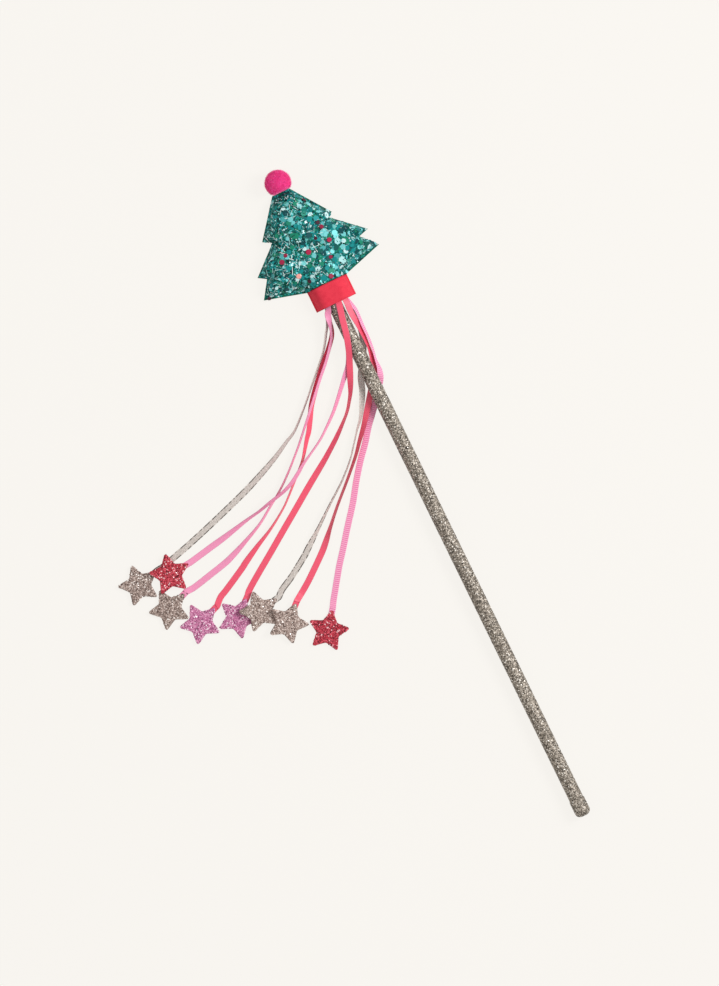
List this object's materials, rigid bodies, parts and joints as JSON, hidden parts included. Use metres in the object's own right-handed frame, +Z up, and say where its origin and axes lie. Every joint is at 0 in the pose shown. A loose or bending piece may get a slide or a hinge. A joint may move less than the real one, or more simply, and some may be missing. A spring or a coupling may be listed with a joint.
{
  "type": "toy wand",
  "caption": "Toy wand: a padded glitter tree with a pompom on a fabric-covered stick, and thin ribbon streamers from its trunk band that end in glitter stars and lift.",
  "frame": {"origin": "middle of the wand's length and of the tree's width, on the surface that it lies on", "axes": "+Y along the wand from the free end of the stick to the pompom, +X to the right seen from above with the tree upwards, +Z up from the tree's back"},
  "size_m": [0.1922, 0.358, 0.014],
  "materials": {
    "wood_core": "plain dowel, hidden by its cover",
    "stick_glitter": "matte grey-gold fabric with fine glitter",
    "tree_glitter": "coarse teal and aqua sequin glitter",
    "tree_felt": "plain felt back",
    "filling": "soft filling, hidden",
    "pompom_yarn": "fuzzy magenta yarn",
    "trunk_felt": "coral-red felt",
    "ribbon_silver": "sheer silver ribbon with woven edges",
    "ribbon_pink": "pink satin ribbon",
    "ribbon_coral": "coral satin ribbon",
    "star_gold": "fine grey-gold glitter sheet",
    "star_red": "fine red glitter sheet",
    "star_pink": "fine pink glitter sheet"
  },
  "bodies": {
    "wand": {"stick_core": "wood_core", "stick_cover": "stick_glitter", "stick_end_cap": "stick_glitter", "tree_front": "tree_glitter", "tree_back": "tree_felt", "tree_padding": "filling", "pompom": "pompom_yarn", "trunk_front": "trunk_felt", "trunk_back": "trunk_felt", "ribbon_1": "ribbon_silver", "ribbon_2": "ribbon_pink", "ribbon_3": "ribbon_pink", "ribbon_4": "ribbon_coral", "ribbon_5": "ribbon_coral", "ribbon_6": "ribbon_silver", "ribbon_7": "ribbon_coral", "ribbon_8": "ribbon_pink"},
    "streamer_1": {"ribbon_1_end": "ribbon_silver", "star_1_front": "star_gold", "star_1_back": "star_gold"},
    "streamer_2": {"ribbon_2_end": "ribbon_pink", "star_2_front": "star_red", "star_2_back": "star_red"},
    "streamer_3": {"ribbon_3_end": "ribbon_pink", "star_3_front": "star_gold", "star_3_back": "star_gold"},
    "streamer_4": {"ribbon_4_end": "ribbon_coral", "star_4_front": "star_pink", "star_4_back": "star_pink"},
    "streamer_5": {"ribbon_5_end": "ribbon_coral", "star_5_front": "star_pink", "star_5_back": "star_pink"},
    "streamer_6": {"ribbon_6_end": "ribbon_silver", "star_6_front": "star_gold", "star_6_back": "star_gold"},
    "streamer_7": {"ribbon_7_end": "ribbon_coral", "star_7_front": "star_gold", "star_7_back": "star_gold"},
    "streamer_8": {"ribbon_8_end": "ribbon_pink", "star_8_front": "star_red", "star_8_back": "star_red"}
  },
  "joints": [
    {"name": "streamer_1_lift", "type": "hinge", "parent": "wand", "child": "streamer_1", "pos_m": [-0.1035, 0.034, 0.00045], "axis": [-0.2965, 0.955, 0], "range_deg": [0, 30]},
    {"name": "streamer_2_lift", "type": "hinge", "parent": "wand", "child": "streamer_2", "pos_m": [-0.109, 0.0235, 0.00065], "axis": [-0.1755, 0.9845, 0], "range_deg": [0, 48]},
    {"name": "streamer_3_lift", "type": "hinge", "parent": "wand", "child": "streamer_3", "pos_m": [-0.108, 0.0129, 0.00045], "axis": [-0.2334, 0.9724, 0], "range_deg": [0, 30]},
    {"name": "streamer_4_lift", "type": "hinge", "parent": "wand", "child": "streamer_4", "pos_m": [-0.101, 0.0068, 0.00045], "axis": [-0.4813, 0.8766, 0], "range_deg": [0, 45]},
    {"name": "streamer_5_lift", "type": "hinge", "parent": "wand", "child": "streamer_5", "pos_m": [-0.074, 0.0148, 0.00045], "axis": [-0.5597, 0.8287, 0], "range_deg": [0, 30]},
    {"name": "streamer_6_lift", "type": "hinge", "parent": "wand", "child": "streamer_6", "pos_m": [-0.07, -0.0012, 0.00045], "axis": [-0.5561, 0.8311, 0], "range_deg": [0, 42]},
    {"name": "streamer_7_lift", "type": "hinge", "parent": "wand", "child": "streamer_7", "pos_m": [-0.062, -0.004, 0.00045], "axis": [-0.6419, 0.7668, 0], "range_deg": [0, 51]},
    {"name": "streamer_8_lift", "type": "hinge", "parent": "wand", "child": "streamer_8", "pos_m": [-0.051, -0.0065, 0.00045], "axis": [-0.7868, 0.6172, 0], "range_deg": [0, 60]}
  ],
  "couplings": [
    {"joint": "streamer_2_lift", "follows": "streamer_1_lift", "ratio": 1.6},
    {"joint": "streamer_3_lift", "follows": "streamer_1_lift", "ratio": 1},
    {"joint": "streamer_6_lift", "follows": "streamer_5_lift", "ratio": 1.4},
    {"joint": "streamer_7_lift", "follows": "streamer_5_lift", "ratio": 1.7}
  ]
}
